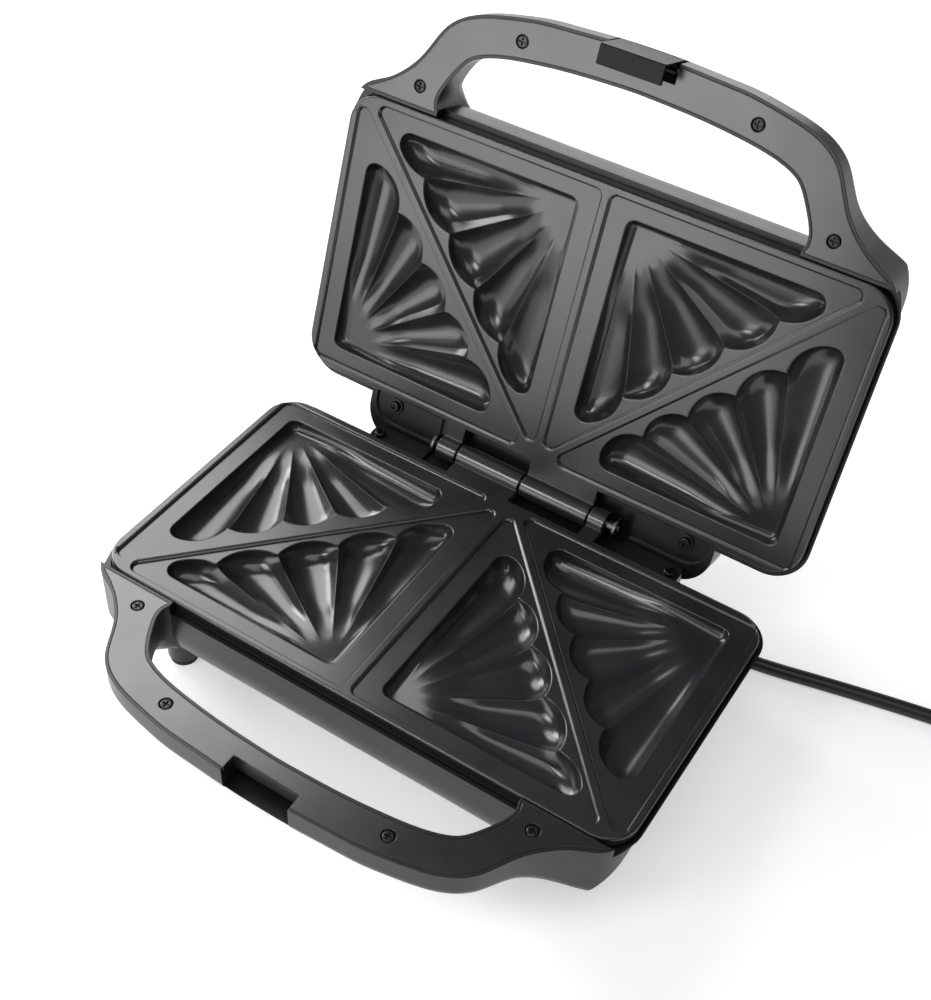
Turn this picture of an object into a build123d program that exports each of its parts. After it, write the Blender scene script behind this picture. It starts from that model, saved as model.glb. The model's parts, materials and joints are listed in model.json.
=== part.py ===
from build123d import *
import os
from math import asin, cos, hypot, pi, radians, sin, sqrt, tan

os.makedirs("parts", exist_ok=True)

# Lengths are in millimetres. The drawing frame has the hinge axis along X through
# its origin, the handles towards -Y, and the parting plane of the halves at Z = 0.
# The base hangs below that plane. The lid is drawn closed above it, then opened.

# Poses
open_angle = 107.9
rest_gap = 0.3

# Hinge
barrel_radius = 5.5
pin_radius = 2.4
pin_clearance = 0.05
collar_radius = 4.9
collar_thickness = 1.2
collar_places = (-48.0, 46.0)
pin_ends = (-49.4, 47.4)
base_knuckles = ((-34.5, -2.2), (33.5, 41.0))
lid_knuckles = ((-45.3, -35.7), (-1.0, 32.5))
web_height = 5.2

# Plates
parting_gap = 0.4
plate_width = 250.0
plate_depth = 129.4
plate_corner = 14.0
plate_rear = 12.2
skirt_height = 6.6
skirt_wall = 2.4
lip_width = 2.6
lip_rounding = 0.9
shelf_drop = 1.8
shelf_thickness = 2.6
shelf_corner = 4.0
shelf_draft = 35.0
ridge_width = 2.3
ridge_rear_x = 4.9
ridge_rear_inset = 4.5
ridge_front_x = 118.2
ridge_front_inset = 2.8

# Cavities
cavity_depth = 8.2
corner_depth = 6.4
cavity_wall = 2.4
cavity_draft = 9.0
cavity_corner = 3.0
cusp_offset = 9.1
scallop_bulge = 5.5
flute_tip_radius = 2.0
flute_tip_distance = 5.5
flute_spread_share = 0.04
corner_floor_rise = 0.25
wall_overrun = 2.0
outer_cavity_side = 12.2
outer_cavity_rear = 10.6
inner_cavity_side = 11.3
inner_cavity_front = 11.8
outer_cusp_shares = (0.227, 0.414, 0.598, 0.775)
inner_cusp_shares = (0.221, 0.423, 0.627, 0.832)
well_draft = 14.0

# Plate mounting
boss_radius = 4.0
boss_places_shares = (0.2, 0.8)
boss_length = 19.0
boss_bore = 1.5
boss_bore_depth = 9.0

# Housings
housing_half_width = 126.8
housing_rear = 8.0
housing_front = 145.0
housing_corner = 17.0
housing_wall = 2.5
rim_drop = 5.0
ledge_drop = 7.4
ledge_width = 8.0
plate_margin = 0.6
side_drop = 16.0
side_slope_share = 0.5
side_rounding_share = 0.6
bottom_rounding = 28.0
bottom_corner_share = 0.55
bottom_steps = 5
hinge_bay_half_width = 50.5
hinge_bay_drop = 7.2

# Handles
handle_half_width = 118.5
handle_reach = 50.4
slot_half_width = 85.2
slot_reach = 36.6
handle_root = 143.6
handle_border = 1.3
handle_depth = 15.2
handle_root_depth = 34.0
handle_rounding = 6.0
handle_overlap = 22.0
handle_low_share = 0.7
slot_root_share = 0.975
shoulder_drop = 1.5
cover_thickness = 2.5
cover_clearance = 0.15
pocket_depth = 10.5
pocket_inset = 1.5
cover_outer_shares = (
    (0.000, 1.000), (0.143, 0.994), (0.270, 0.978), (0.388, 0.960), (0.489, 0.921),
    (0.576, 0.877), (0.661, 0.802), (0.721, 0.692), (0.762, 0.540), (0.803, 0.375),
    (0.854, 0.240), (0.920, 0.121), (1.000, 0.016),
)
ear_outer_shares = ((1.033, -0.09), (1.049, -0.21), (1.056, -0.36))
flank_shares = (
    (0.992, 0.06), (0.984, 0.23), (0.968, 0.386), (0.945, 0.514), (0.910, 0.66),
    (0.870, 0.78), (0.815, 0.89), (0.700, 1.0),
)
slot_outer_shares = (
    (0.000, 1.000), (0.094, 0.995), (0.352, 0.967), (0.528, 0.926), (0.681, 0.872),
    (0.798, 0.795), (0.866, 0.708), (0.927, 0.530), (0.974, 0.339), (1.000, 0.161),
    (0.988, 0.011),
)
underside_shares = (
    (1.10, 0.98), (0.72, 1.0), (0.52, 1.06), (0.37, 1.18), (0.24, 1.42),
    (0.10, 1.80), (-0.10, 2.12), (-0.42, 2.3),
)

# Screws
screw_head_radius = 2.6
screw_head_height = 1.7
screw_shank_radius = 1.4
screw_length = 8.0
screw_end_gap = 0.5
screw_tip_share = 0.3
head_rounding_share = 0.45
screw_clearance = 0.3
screw_cross_length = 3.2
screw_cross_width = 0.7
screw_cross_depth = 0.9
screw_boss_radius = 3.4
cover_screw_shares = ((0.79, 0.164), (0.437, 0.786))
rear_screw_x = 75.5
rear_screw_y = 5.5
rear_boss_radius = 3.8
rear_boss_height = 1.0

# Latch and the notch that it closes into
latch_half_width = 14.0
latch_plate = 1.5
latch_top = 8.6
latch_reach = 11.0
latch_lip = 8.7
latch_pivot_y = 191.2
latch_pivot_z = 4.6
latch_barrel = 2.6
latch_pin_radius = 1.1
latch_pin_grip = 3.0
latch_web = 3.6
latch_rounding = 0.6
latch_side_gap = 1.5
notch_back = 187.0
notch_ledge_drop = 8.6
notch_undercut = 3.4
notch_height = 13.0
notch_top = 10.5

# Rear of the two halves
tongue_half_width = 89.0
tongue_rear = 13.0
tongue_corner = 16.0
tongue_height = 20.0
tongue_rounding = 6.0
tongue_face = 5.0
tongue_pocket_outer = 86.0
tongue_pocket_rear = 4.0
tongue_pocket_corner = 10.0
tongue_pocket_depth = 1.2
stop_half_width = 80.0
stop_rear = 0.4
stop_bottom = 14.6
stop_corner = 3.0
stop_chamfer = 0.6

# Feet
foot_x = 92.0
foot_places = (17.0, 131.0)
foot_post_top = 24.0
foot_post_radius = 7.0
foot_pad_radius = 6.2
foot_pad_height = 4.0
foot_drop = 8.0
foot_stem_radius = 2.5
foot_stem_length = 3.0
foot_edge = 0.8

# Inside
element_radius = 3.2
element_half_width = 72.0
element_depth = 70.0
element_corner = 16.0
element_rear_inset = 18.0
element_pin_radius = 1.5
element_pin_length = 8.0
shield_half_width = 104.0
shield_inset = 14.0
shield_thickness = 0.8
shield_flange = 4.0
thermostat_radius = 7.0
thermostat_height = 10.0
thermostat_neck_radius = 4.5
thermostat_neck_height = 3.0
fuse_radius = 2.0
fuse_length = 14.0
fuse_place_share = 0.35
terminal_length = 30.0
terminal_width = 12.0
terminal_height = 11.0
terminal_x = -40.0
terminal_place = 46.0
terminal_bore = 1.8
terminal_ways = 3
half_share = 0.5
mount_screw_head_radius = 3.0
mount_screw_head_height = 2.0
mount_screw_seat = 28.0
mount_screw_length = 17.0
post_radius = 4.6

# Indicator lenses in the lid
lens_radius = 4.0
lens_flange_radius = 5.4
lens_flange_height = 1.2
lens_dome = 0.9
lens_spacing = 22.0
lens_place = 108.0
lens_clearance = 0.15
dome_share = 0.9

# Cord
cord_radius = 3.25
gland_radius = 5.2
gland_tip_radius = 4.2
gland_flange_radius = 6.6
gland_flange = 1.2
gland_rings = 6
gland_groove = 0.7
gland_x = -58.0
gland_drop = 33.0
gland_tip = -12.0
gland_seat = 9.6
gland_inner = 22.0
gland_boss_radius = 7.6
cord_route = (
    (-58.0, 41.0, -33.0), (-38.0, 60.0, -38.5), (-7.0, 61.0, -44.5), (27.0, 45.0, -48.75),
    (59.0, 19.0, -48.75), (90.0, 3.6, -48.75), (121.0, 7.4, -48.75), (157.0, 16.4, -48.75),
    (200.0, 25.5, -48.75), (250.0, 34.0, -48.75),
)
cord_end = (262.0, 36.6, -48.75)
bend_share = 0.45
coil_radius = 44.0
coil_pitch = 7.1
coil_rise = 7.0
coil_inward_turns = 3
coil_outward_turns = 2
plug_width = 50.0
plug_length = 47.0
plug_thickness = 20.5
plug_corner = 9.0
plug_rounding = 4.0
plug_neck_radius = 5.5
plug_neck_length = 9.0
plug_neck_step = 0.6
plug_pin_root = 3.0
plug_pin_place = 12.0
plug_pin_chamfer = 0.8
plug_pin_length = 17.7
plug_pin_thickness = 4.0
plug_pin_width = 6.35
plug_earth_length = 22.7
plug_earth_width = 8.0
plug_pin_spacing = 22.2
plug_earth_offset = 22.2
tail_length = 44.0

overrun = 60.0

rim = parting_gap / 2
shelf = rim + shelf_drop
front_edge = plate_rear + plate_depth
cavity_floor = shelf + cavity_depth
housing_depth = side_drop + bottom_rounding
floor_level = housing_depth + foot_drop
well_floor = cavity_floor + cavity_wall
front_reach = handle_root + handle_reach
half_plate = plate_width / 2


def at(x, y, z=0):
    """A point in front of the hinge and below the parting plane."""
    return Vector(x, -y, -z)


def slab(face, top, bottom):
    """The face, drawn at Z = 0, filled between two depths below the plane."""
    return Pos(0, 0, -bottom) * extrude(face, amount=bottom - top, dir=(0, 0, 1))


def block(x_low, x_high, y_near, y_far, top, bottom):
    """A box between two widths, two distances from the hinge and two depths."""
    width, depth, height = x_high - x_low, y_far - y_near, bottom - top
    middle = at((x_low + x_high) / 2, (y_near + y_far) / 2, (top + bottom) / 2)
    return Pos(middle) * Box(width, depth, height)


def rod(x, y, radius, top, bottom):
    """An upright cylinder between two depths."""
    return Pos(at(x, y, (top + bottom) / 2)) * Cylinder(radius, bottom - top)


def bar(y, z, radius, x_low, x_high):
    """A cylinder along X."""
    middle = Vector((x_low + x_high) / 2, -y, -z)
    return Pos(middle) * Rot(0, 90, 0) * Cylinder(radius, x_high - x_low)


def mirrored(shape):
    return mirror(shape, about=Plane.YZ)


def plan(points, radius):
    """A polygon seen from above with all its corners rounded."""
    corners = [(x, -y) for x, y in points]
    face = make_face(Polyline(*corners, close=True))
    return fillet(face.vertices(), radius)


def rounded(half_width, near, far, radius):
    """A rounded rectangle between two distances from the hinge."""
    return Pos(0, -(near + far) / 2) * RectangleRounded(2 * half_width, far - near, radius)


# The straight line of the diagonal ridge, in distances from the hinge
ridge_start = (ridge_rear_x, plate_rear + ridge_rear_inset)
ridge_end = (ridge_front_x, front_edge - ridge_front_inset)
ridge_run = (ridge_end[0] - ridge_start[0], ridge_end[1] - ridge_start[1])
ridge_length = hypot(*ridge_run)
along = (ridge_run[0] / ridge_length, ridge_run[1] / ridge_length)
outward = (along[1], -along[0])


def ridge_point_at_x(x, offset):
    """Where a line beside the ridge has the given X."""
    start_x = ridge_start[0] + outward[0] * offset
    start_y = ridge_start[1] + outward[1] * offset
    return (x, start_y + (x - start_x) * along[1] / along[0])


def ridge_point_at_y(y, offset):
    """Where a line beside the ridge has the given distance from the hinge."""
    start_x = ridge_start[0] + outward[0] * offset
    start_y = ridge_start[1] + outward[1] * offset
    return (start_x + (y - start_y) * along[0] / along[1], y)


def triangle(side, end, offset):
    """Right-angled corner between a side and an end line, cut by the ridge line."""
    return [(side, end), ridge_point_at_x(side, offset), ridge_point_at_y(end, offset)]


def shelf_pockets():
    """The two shallow fields of the right half, between lip and ridges."""
    side = half_plate - lip_width
    rear = plate_rear + lip_width
    front = front_edge - lip_width
    outer = plan(triangle(side, rear, ridge_width / 2), shelf_corner)
    inner = plan(triangle(ridge_width / 2, front, -ridge_width / 2), shelf_corner)
    depth = shelf_drop
    pockets = [
        extrude(Pos(0, 0, -rim) * face, amount=depth, dir=(0, 0, -1), taper=shelf_draft)
        for face in (outer, inner)
    ]
    return pockets


def flute(tip, end, end_radius):
    """A cone between a small ball at the tip and a larger ball at the end."""
    length = (end - tip).length
    lean = asin((end_radius - flute_tip_radius) / length)
    plane = Plane(origin=tip, x_dir=(end - tip).normalized(), z_dir=(end - tip).cross(Vector(0, 0, 1)))
    small = (-flute_tip_radius * sin(lean), flute_tip_radius * cos(lean))
    large = (length - end_radius * sin(lean), end_radius * cos(lean))
    small_start = (-flute_tip_radius, 0)
    large_end = (length + end_radius, 0)
    half_small = (pi / 2 - lean) / 2
    small_mid = (-flute_tip_radius * cos(half_small), flute_tip_radius * sin(half_small))
    half_large = (pi / 2 + lean) / 2
    large_mid = (length + end_radius * cos(half_large), end_radius * sin(half_large))
    edges = [
        ThreePointArc(small_start, small_mid, small),
        Line(small, large),
        ThreePointArc(large, large_mid, large_end),
        Line(large_end, small_start),
    ]
    face = plane * make_face(Curve() + edges)
    return revolve(face, axis=Axis(tip, plane.x_dir))


def cavity(side, end, offset_sign, cusp_shares):
    """One fluted triangular well, and the block of metal that surrounds it."""
    offset = cusp_offset * offset_sign
    corner, along_end, across_end = triangle(side, end, offset)
    peak_offset = offset - scallop_bulge * offset_sign
    outline = plan(triangle(side, end, peak_offset), cavity_corner)
    walls = extrude(
        Pos(0, 0, -shelf + shelf_drop) * outline,
        amount=cavity_depth + shelf_drop + wall_overrun,
        dir=(0, 0, -1),
        taper=cavity_draft,
    )
    wall = cavity_wall / 2
    skin = offset - (scallop_bulge + wall) * offset_sign
    sx = 1 if along_end[0] > across_end[0] else -1
    sy = 1 if across_end[1] > along_end[1] else -1
    metal = plan(triangle(side + sx * wall, end + sy * wall, skin), cavity_corner)
    metal = extrude(
        Pos(0, 0, -shelf) * metal, amount=cavity_depth + cavity_wall, dir=(0, 0, -1), taper=well_draft / 2
    )
    hyp = (across_end[0] - along_end[0], across_end[1] - along_end[1])
    hyp_length = hypot(*hyp)
    unit = (hyp[0] / hyp_length, hyp[1] / hyp_length)
    middle = (along_end[0] + hyp[0] / 2, along_end[1] + hyp[1] / 2)
    inward = (-outward[0] * offset_sign * -1, -outward[1] * offset_sign * -1)
    bisect = (middle[0] - corner[0], middle[1] - corner[1])
    bisect_length = hypot(*bisect)
    tip_x = corner[0] + bisect[0] / bisect_length * flute_tip_distance
    tip_y = corner[1] + bisect[1] / bisect_length * flute_tip_distance
    tip = at(tip_x, tip_y, shelf + corner_depth - flute_tip_radius)
    cusps = [share * hyp_length for share in cusp_shares]
    inner_half = (cusps[-1] - cusps[0]) / (len(cusps) - 1) / 2
    centres = [cusps[0] - inner_half]
    for low, high in zip(cusps, cusps[1:]):
        centres.append((low + high) / 2)
    centres.append(cusps[-1] + inner_half)
    arc = (inner_half ** 2 + scallop_bulge ** 2) / (2 * scallop_bulge)
    rise = (arc ** 2 - cavity_depth ** 2) / (2 * cavity_depth)
    ball = cavity_depth + rise
    back = arc - scallop_bulge
    tool = None
    for place in centres:
        x = along_end[0] + unit[0] * place + inward[0] * back
        y = along_end[1] + unit[1] * place + inward[1] * back
        aside = (place - hyp_length / 2) * flute_spread_share
        foot = tip + Vector(unit[0] * aside, -unit[1] * aside, 0)
        shell = flute(foot, at(x, y, shelf - rise), ball) & walls
        tool = shell if tool is None else tool + shell
    wedge_near = flute_tip_distance
    corner_floor = corner_depth - corner_floor_rise
    wedge_far = bisect_length - scallop_bulge - back / 2
    profile = [
        (-flute_tip_distance, -shelf_drop),
        (wedge_far, -shelf_drop),
        (wedge_far, 0),
        (wedge_near, corner_floor),
        (-flute_tip_distance, corner_floor),
    ]
    frame = Plane(
        origin=at(corner[0], corner[1], shelf),
        x_dir=(bisect[0], -bisect[1], 0),
        z_dir=Vector(bisect[0], -bisect[1], 0).cross(Vector(0, 0, -1)),
    )
    wedge_face = frame * make_face(Polyline(*profile, close=True))
    wedge = extrude(wedge_face, amount=hyp_length, both=True)
    tool = tool + (wedge & walls)
    return tool, metal


def plate():
    """The lower cooking plate: rim, ridges, eight fields and four fluted wells."""
    outline = rounded(half_plate, plate_rear, front_edge, plate_corner)
    body = slab(outline, rim, rim + skirt_height)
    body = fillet(body.edges().group_by(Axis.Z)[-1], lip_rounding)
    hollow = rounded(
        half_plate - skirt_wall, plate_rear + skirt_wall, front_edge - skirt_wall, plate_corner - skirt_wall
    )
    body -= slab(hollow, shelf + shelf_thickness, rim + skirt_height + overrun)
    side = half_plate - outer_cavity_side
    rear = plate_rear + outer_cavity_rear
    front = front_edge - inner_cavity_front
    outer_tool, outer_metal = cavity(side, rear, 1, outer_cusp_shares)
    inner_tool, inner_metal = cavity(inner_cavity_side, front, -1, inner_cusp_shares)
    for metal in (outer_metal, inner_metal):
        body += metal
        body += mirrored(metal)
    for pocket in shelf_pockets():
        body -= pocket
        body -= mirrored(pocket)
    for tool in (outer_tool, inner_tool):
        body -= tool
        body -= mirrored(tool)
    for share in boss_places_shares:
        place = plate_rear + plate_depth * share
        body += rod(0, place, boss_radius, shelf + shelf_thickness / 2, boss_length)
        body -= rod(0, place, boss_bore, boss_length - boss_bore_depth, boss_length + overrun)
    return body


def knuckle(x_low, x_high):
    """A hinge barrel with the web that joins it to the lower plate."""
    barrel = bar(0, 0, barrel_radius, x_low, x_high)
    web = block(x_low, x_high, 0, plate_rear + skirt_wall, rim, web_height)
    bore = bar(0, 0, pin_radius + pin_clearance, x_low - overrun, x_high + overrun)
    return barrel + web - bore


def bow(shares, half_width, reach, outset, extra=()):
    """The left to right points of a handle line, moved sideways by the outset."""
    right = [(x * half_width, handle_root + y * reach) for x, y in shares]
    right += [(x * half_width, handle_root + y * reach) for x, y in extra]
    whole = [(-x, y) for x, y in reversed(right[1:])] + right
    moved = []
    for index, (x, y) in enumerate(whole):
        before = whole[max(index - 1, 0)]
        after = whole[min(index + 1, len(whole) - 1)]
        dx, dy = after[0] - before[0], after[1] - before[1]
        span = hypot(dx, dy)
        moved.append((x - dy / span * outset, y + dx / span * outset))
    return moved


def bow_face(points, near):
    """The face between a handle line and a straight line nearer the hinge."""
    curve = Spline(*[(x, -y) for x, y in points])
    first, last = curve @ 0, curve @ 1
    left, right = (first.X, -near), (last.X, -near)
    edges = [curve, Line(last, right), Line(right, left), Line(left, first)]
    return make_face(Curve() + edges)


def handle_shell():
    """The outside of the lower handle with its grip slot, ears and rounded underside."""
    outer = bow(cover_outer_shares, handle_half_width, handle_reach, handle_border, ear_outer_shares)
    near = handle_root - handle_overlap
    body = slab(bow_face(outer, near), rim, handle_root_depth + overrun)
    points = [(handle_root + y * handle_reach, z * handle_depth) for y, z in underside_shares]
    curve = Spline(*[(-y, -z) for y, z in points])
    start, end = curve @ 0, curve @ 1
    top = (end.X, 0), (start.X, 0)
    side = Plane.YZ * make_face(Curve() + [curve, Line(end, top[0]), Line(*top), Line(top[1], start)])
    body &= extrude(side, amount=housing_half_width + overrun, both=True)
    slot = bow(slot_outer_shares, slot_half_width, slot_reach, -handle_border)
    body -= slab(bow_face(slot, near - overrun), -overrun, handle_root_depth + overrun)
    body -= block(-overrun * 3, overrun * 3, 0, front_edge + plate_margin, 0, rim_drop)
    low = [
        edge for edge in body.edges()
        if edge.center().Z < -handle_depth * handle_low_share and edge.center().Y < -handle_root
    ]
    body = fillet(low, handle_rounding)
    side = [(x * housing_half_width, -z * housing_depth) for x, z in flank_shares]
    curve = Spline(*side)
    start, end = curve @ 0, curve @ 1
    right = Curve() + [
        Line((0, rim), (start.X, rim)), Line((start.X, rim), start), curve, Line(end, (0, end.Y)),
        Line((0, end.Y), (0, rim)),
    ]
    flanks = make_face(right)
    flanks = flanks + mirror(flanks, about=Plane.YZ)
    return body & extrude(Plane.XZ * flanks, amount=front_reach + overrun, both=True)


def cover_face(clearance):
    """The outline of the handle's cover plate, smaller by a clearance."""
    outer = bow(cover_outer_shares, handle_half_width, handle_reach, -clearance)
    slot = bow(slot_outer_shares, slot_half_width, slot_reach, clearance)
    face = bow_face(outer, front_edge) - bow_face(slot, front_edge - overrun)
    return face - rounded(housing_half_width, 0, handle_root + clearance, plate_margin)


def moulded(inset):
    """The rounded body of a housing below the ledge, drawn in by an inset."""
    near, far = housing_rear + inset, housing_front - inset
    corner = housing_corner - inset
    lean = hypot(1, side_slope_share)
    slope = side_slope_share
    wide = housing_half_width - inset * lean
    narrow = wide - slope * (side_drop - rim_drop)
    upper = Pos(0, 0, -rim_drop) * rounded(wide, near, far, corner)
    middle = Pos(0, 0, -side_drop) * rounded(narrow, near, far, corner)
    body = loft([upper, middle], ruled=True)
    sections = []
    for step in range(bottom_steps + 1):
        angle = pi / 2 * step / bottom_steps
        draw = (bottom_rounding - inset) * (1 - cos(angle))
        drop = (bottom_rounding - inset) * sin(angle)
        half_width = narrow - slope * drop - side_rounding_share * draw
        radius = corner * (1 - bottom_corner_share * step / bottom_steps)
        face = rounded(half_width, near + draw, far - draw, radius)
        sections.append(Pos(0, 0, -side_drop - drop) * face)
    return body + loft(sections)


def handle_holes():
    """Where the cover screws of one handle stand."""
    places = []
    for x_share, y_share in cover_screw_shares:
        x = x_share * handle_half_width
        y = handle_root + y_share * handle_reach
        places += [(x, y), (-x, y)]
    return places


def notch(back, top, bottom):
    """A gap in the middle of a handle, open to the front."""
    half = latch_half_width + latch_side_gap
    return block(-half, half, back, front_reach + overrun, top, bottom)


def housing():
    """What the base and lid housings share, drawn as the lower one."""
    body = moulded(0) + handle_shell()
    frame = rounded(housing_half_width, housing_rear, housing_front, housing_corner)
    body -= moulded(housing_wall) - slab(frame, 0, ledge_drop + housing_wall)
    window = rounded(
        half_plate + plate_margin - ledge_width, plate_rear + ledge_width - plate_margin,
        front_edge - ledge_width + plate_margin, plate_corner,
    )
    body -= slab(window, 0, ledge_drop + housing_wall)
    seat = rounded(
        half_plate + plate_margin, plate_rear - plate_margin, front_edge + plate_margin,
        plate_corner + plate_margin,
    )
    body -= slab(seat, 0, ledge_drop)
    slot_wall = slot_half_width * slot_root_share
    body -= block(-slot_wall, slot_wall, front_edge, handle_root + handle_border, 0, ledge_drop)
    body -= slab(cover_face(0), 0, rim + cover_thickness)
    pocket = slab(cover_face(pocket_inset), 0, pocket_depth)
    solid_half = latch_half_width + latch_side_gap + latch_pin_grip + housing_wall
    solid_back = notch_back - notch_undercut - housing_wall
    pocket -= block(-solid_half, solid_half, solid_back, front_reach, 0, pocket_depth)
    for x, y in handle_holes():
        pocket -= rod(x, y, screw_boss_radius, 0, pocket_depth)
    body -= pocket
    for x, y in handle_holes():
        body -= rod(x, y, screw_shank_radius + pin_clearance, 0, rim + screw_head_height + screw_length)
    for place in boss_places():
        body += rod(0, place, post_radius, boss_length + shield_thickness, housing_depth)
        head_bore = mount_screw_head_radius + screw_clearance
        body -= rod(0, place, head_bore, mount_screw_seat, housing_depth + overrun)
        body -= rod(0, place, screw_shank_radius + screw_clearance, boss_length, housing_depth)
    return body - hinge_bay()


def boss_places():
    """How far the two plate bosses stand from the hinge."""
    return [plate_rear + plate_depth * share for share in boss_places_shares]


def hinge_bay():
    half = hinge_bay_half_width
    return block(-half, half, -overrun, plate_rear + ledge_width, 0, hinge_bay_drop)


def base_housing(common):
    """The lower housing with its stop ledge, latch notch, foot posts and cord opening."""
    inner = housing_rear + housing_wall / 2
    stop = slab(rounded(stop_half_width, -stop_rear, inner, stop_corner), rim_drop, stop_bottom)
    low = stop.edges().filter_by(Axis.X).group_by(Axis.Z)[0].sort_by(Axis.Y)[-1]
    stop = chamfer(low, stop_chamfer)
    body = common + (stop - hinge_bay())
    for x in (-rear_screw_x, rear_screw_x):
        bore = screw_shank_radius + pin_clearance
        body -= rod(x, rear_screw_y, bore, 0, rim_drop + screw_length)
    body -= notch(notch_back, 0, notch_ledge_drop)
    body -= notch(notch_back - notch_undercut, notch_ledge_drop, notch_height)
    post_bottom = floor_level - foot_pad_height
    for place in foot_places:
        for x in (-foot_x, foot_x):
            body += rod(x, place, foot_post_radius, foot_post_top, post_bottom)
            stem_top = post_bottom - foot_stem_length
            body -= rod(x, place, foot_stem_radius + pin_clearance, stem_top, post_bottom)
    length = gland_inner - gland_seat
    middle = at(gland_x, (gland_inner + gland_seat) / 2, gland_drop)
    body += Pos(middle) * Rot(90, 0, 0) * Cylinder(gland_boss_radius, length)
    hole = Cylinder(gland_radius + pin_clearance, length + overrun)
    return body - Pos(middle) * Rot(90, 0, 0) * hole


def lid_housing(common):
    """The upper housing, drawn as a lower one, with its tongue, notch and lens holes."""
    far = housing_front / 2
    inner = housing_rear + housing_wall / 2
    tongue = rounded(tongue_half_width, -tongue_rear, far, tongue_corner)
    bottom = tongue_face + tongue_height
    tongue = slab(tongue, tongue_face, bottom)
    tongue = fillet(tongue.edges().group_by(Axis.Z)[0], tongue_rounding)
    tongue &= block(-overrun * 2, overrun * 2, -overrun, inner, 0, bottom)
    body = common + (tongue - hinge_bay())
    hollow = rounded(
        tongue_half_width - housing_wall, housing_wall - tongue_rear, far, tongue_corner - housing_wall
    )
    hollow = slab(hollow, ledge_drop + housing_wall, bottom - housing_wall)
    hollow &= block(-overrun * 2, overrun * 2, -overrun, housing_rear + 2 * housing_wall, 0, bottom)
    recess = rounded(tongue_pocket_outer, -tongue_pocket_rear, far, tongue_pocket_corner)
    recess = slab(recess, 0, tongue_face + tongue_pocket_depth)
    recess &= block(-overrun * 2, overrun * 2, -overrun, plate_rear, 0, bottom)
    boss_top = tongue_face + tongue_pocket_depth - rear_boss_height
    for x in (-rear_screw_x, rear_screw_x):
        hollow -= rod(x, rear_screw_y, rear_boss_radius, 0, boss_top + screw_length + housing_wall)
        recess -= rod(x, rear_screw_y, rear_boss_radius, boss_top, bottom)
    body = body - hollow - recess
    for x in (-rear_screw_x, rear_screw_x):
        bore = screw_shank_radius + pin_clearance
        body -= rod(x, rear_screw_y, bore, 0, boss_top + screw_length)
    body -= notch(notch_back, 0, notch_top)
    grip = latch_half_width + latch_side_gap + latch_pin_grip
    body -= bar(latch_pivot_y, latch_pivot_z, latch_pin_radius + pin_clearance, -grip, grip)
    for x in (-lens_spacing / 2, lens_spacing / 2):
        body -= rod(x, lens_place, lens_radius + lens_clearance, 0, housing_depth)
    return body


def finished_plate(common, knuckles):
    """A cooking plate with its own hinge barrels."""
    body = common
    for low, high in knuckles:
        body += knuckle(low, high)
    return body


def handle_cover(back):
    """The flat plate that closes the handle's pocket, cut back at the latch."""
    half = latch_half_width + latch_side_gap
    body = slab(cover_face(cover_clearance), rim, rim + cover_thickness)
    body -= block(-half, half, back, front_reach, 0, pocket_depth)
    for x, y in handle_holes():
        seat = rim + screw_head_height
        body -= rod(x, y, screw_head_radius + screw_clearance, 0, seat)
        body -= rod(x, y, screw_shank_radius + pin_clearance, 0, pocket_depth)
    return body


def screw(x, y, seat, head_radius, head_height, length):
    """A cross-head screw whose head stands on a seat and whose tip points deeper."""
    head = rod(x, y, head_radius, seat - head_height, seat)
    head = fillet(head.edges().group_by(Axis.Z)[-1], head_height * head_rounding_share)
    middle = at(x, y, seat - head_height)
    head -= Pos(middle) * Box(screw_cross_length, screw_cross_width, 2 * screw_cross_depth)
    head -= Pos(middle) * Box(screw_cross_width, screw_cross_length, 2 * screw_cross_depth)
    taper = screw_shank_radius
    shank = rod(x, y, screw_shank_radius, seat, seat + length - taper)
    tip = Cone(screw_shank_radius * screw_tip_share, screw_shank_radius, taper)
    return head + shank + Pos(at(x, y, seat + length - taper / 2)) * tip


def cover_screws():
    seat = rim + screw_head_height
    return [
        screw(x, y, seat, screw_head_radius, screw_head_height, screw_length - screw_end_gap)
        for x, y in handle_holes()
    ]


def rear_screws(seat):
    return [
        screw(x, rear_screw_y, seat, screw_head_radius, screw_head_height, screw_length - screw_end_gap)
        for x in (-rear_screw_x, rear_screw_x)
    ]


def plate_screws():
    """The screws driven upwards through the posts into the plate's bosses."""
    group = []
    for place in boss_places():
        lone = screw(
            0, 0, 0, mount_screw_head_radius, mount_screw_head_height, mount_screw_length
        )
        group.append(Pos(at(0, place, mount_screw_seat)) * Rot(180, 0, 0) * lone)
    return group


def heating_element():
    """A tubular element bent to a U below the wells, with its two end pins."""
    rear = plate_rear + element_rear_inset
    front = rear + element_depth
    depth = well_floor + element_radius
    route = [at(-element_half_width, rear, depth), at(-element_half_width, front, depth)]
    route += [at(element_half_width, front, depth), at(element_half_width, rear, depth)]
    path = FilletPolyline(*route, radius=element_corner)
    body = tube(path, element_radius)
    for x in (-element_half_width, element_half_width):
        middle = at(x, rear - element_pin_length / 2, depth)
        body += Pos(middle) * Rot(90, 0, 0) * Cylinder(element_pin_radius, element_pin_length)
    return body


def heat_shield():
    """A shallow tray that keeps the heat at the plate."""
    near, far = plate_rear + shield_inset, front_edge - shield_inset
    top = boss_length
    outer = slab(rounded(shield_half_width, near, far, shelf_corner), top, top + shield_flange)
    inner = rounded(
        shield_half_width - shield_thickness, near + shield_thickness, far - shield_thickness,
        shelf_corner - shield_thickness,
    )
    body = outer - slab(inner, top + shield_thickness, top + shield_flange)
    for place in boss_places():
        body -= rod(0, place, screw_shank_radius + screw_clearance, top, top + shield_flange)
    return body


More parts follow.
